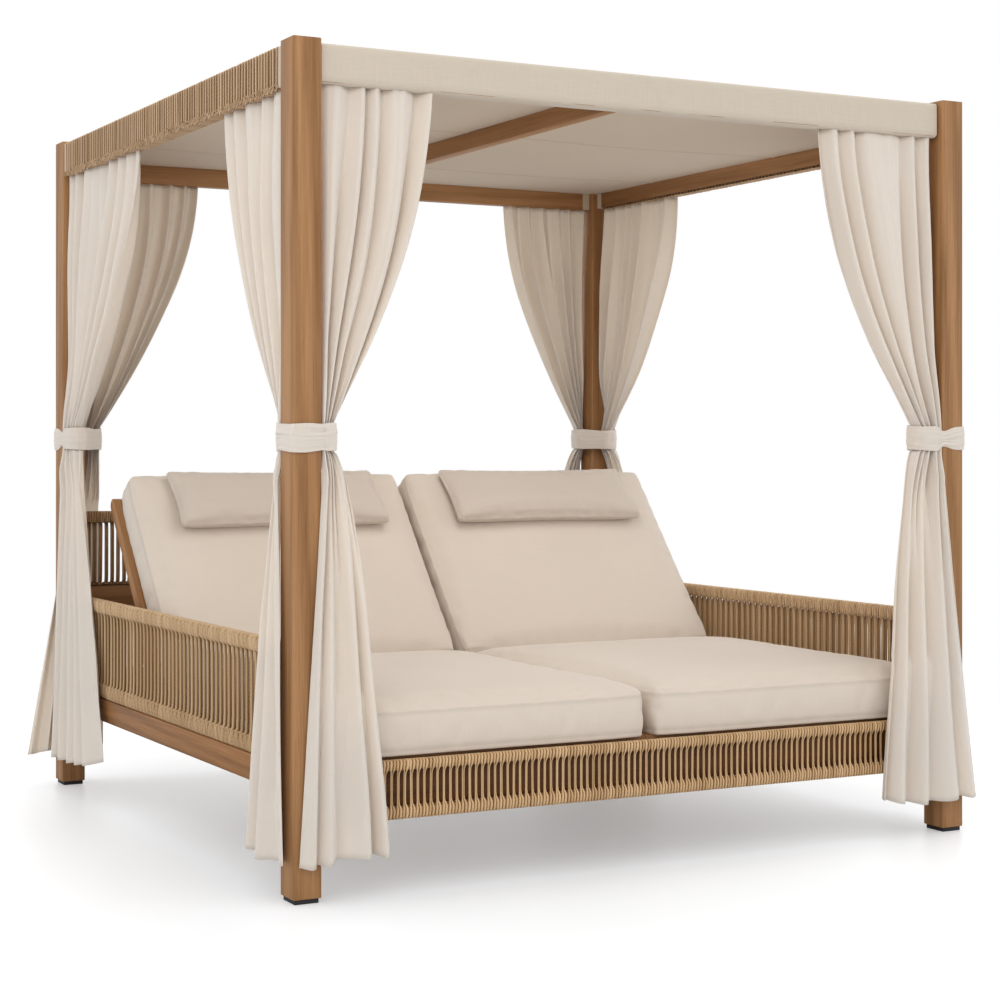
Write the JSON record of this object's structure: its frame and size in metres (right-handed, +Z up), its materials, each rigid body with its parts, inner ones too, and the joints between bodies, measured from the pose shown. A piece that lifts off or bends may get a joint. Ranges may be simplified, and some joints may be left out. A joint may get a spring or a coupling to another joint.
{
  "type": "outdoor daybed with canopy",
  "caption": "Square teak double lounge with rope panels, reclining cushioned backrests, a cloth canopy on four posts and tied-back curtains.",
  "frame": {"origin": "centre of the outline on the floor, under the four posts", "axes": "+X to the right along the front, +Y from the open front to the head end, +Z up"},
  "size_m": [2.1778, 2.1618, 2.1],
  "materials": {
    "teak": "oiled teak with a straight grain and a low sheen",
    "rope": "matte tan outdoor rope, tightly wound",
    "canvas": "matte woven outdoor canvas, sand coloured",
    "voile": "soft matte outdoor curtain cloth, light sand",
    "cushion": "matte woven upholstery cloth, light sand",
    "steel": "satin stainless steel",
    "glide": "near black moulded plastic"
  },
  "bodies": {
    "frame": {"front_left_post": "teak", "front_left_glide": "glide", "front_left_curtain": "voile", "left_front_curtain": "voile", "front_left_tieback": "voile", "front_right_post": "teak", "front_right_glide": "glide", "front_right_curtain": "voile", "right_front_curtain": "voile", "front_right_tieback": "voile", "back_left_post": "teak", "back_left_glide": "glide", "back_left_curtain": "voile", "left_back_curtain": "voile", "back_left_tieback": "voile", "back_right_post": "teak", "back_right_glide": "glide", "back_right_curtain": "voile", "right_back_curtain": "voile", "back_right_tieback": "voile", "front_beam": "teak", "back_beam": "teak", "left_beam": "teak", "right_beam": "teak", "roof_rafter": "teak", "left_bed_rail": "teak", "right_bed_rail": "teak", "back_bed_rail": "teak", "front_bed_rail": "teak", "centre_bed_rail": "teak", "head_rail": "teak", "canopy_cloth": "canvas", "ceiling_lining": "canvas", "left_roof_rope": "rope", "right_roof_rope": "rope", "left_rope_panel": "rope", "right_rope_panel": "rope", "back_rope_panel": "rope", "head_rope_panel": "rope", "front_rope_apron": "rope", "left_seat_deck": "teak", "left_seat_cushion": "cushion", "left_hinge_rod": "steel", "left_rack_frame": "teak", "right_seat_deck": "teak", "right_seat_cushion": "cushion", "right_hinge_rod": "steel", "right_rack_frame": "teak"},
    "backrest_left": {"left_backrest_outer_rail": "teak", "left_backrest_inner_rail": "teak", "left_backrest_slats": "teak", "left_back_cushion": "cushion", "left_head_pillow": "cushion"},
    "prop_left": {"left_prop_frame": "steel"},
    "backrest_right": {"right_backrest_outer_rail": "teak", "right_backrest_inner_rail": "teak", "right_backrest_slats": "teak", "right_back_cushion": "cushion", "right_head_pillow": "cushion"},
    "prop_right": {"right_prop_frame": "steel"}
  },
  "joints": [
    {"name": "left_recline", "type": "hinge", "parent": "frame", "child": "backrest_left", "pos_m": [-0.4845, 0.175, 0.309], "axis": [1, 0, 0], "range_deg": [-50, 10]},
    {"name": "left_prop_swing", "type": "hinge", "parent": "backrest_left", "child": "prop_left", "pos_m": [-0.4845, 0.38069, 0.55413], "axis": [1, 0, 0], "range_deg": [-20, 100]},
    {"name": "right_recline", "type": "hinge", "parent": "frame", "child": "backrest_right", "pos_m": [0.4845, 0.175, 0.309], "axis": [1, 0, 0], "range_deg": [-50, 10]},
    {"name": "right_prop_swing", "type": "hinge", "parent": "backrest_right", "child": "prop_right", "pos_m": [0.4845, 0.38069, 0.55413], "axis": [1, 0, 0], "range_deg": [-20, 100]}
  ],
  "couplings": [
    {"joint": "left_prop_swing", "follows": "left_recline", "ratio": -2},
    {"joint": "right_prop_swing", "follows": "right_recline", "ratio": -2}
  ]
}
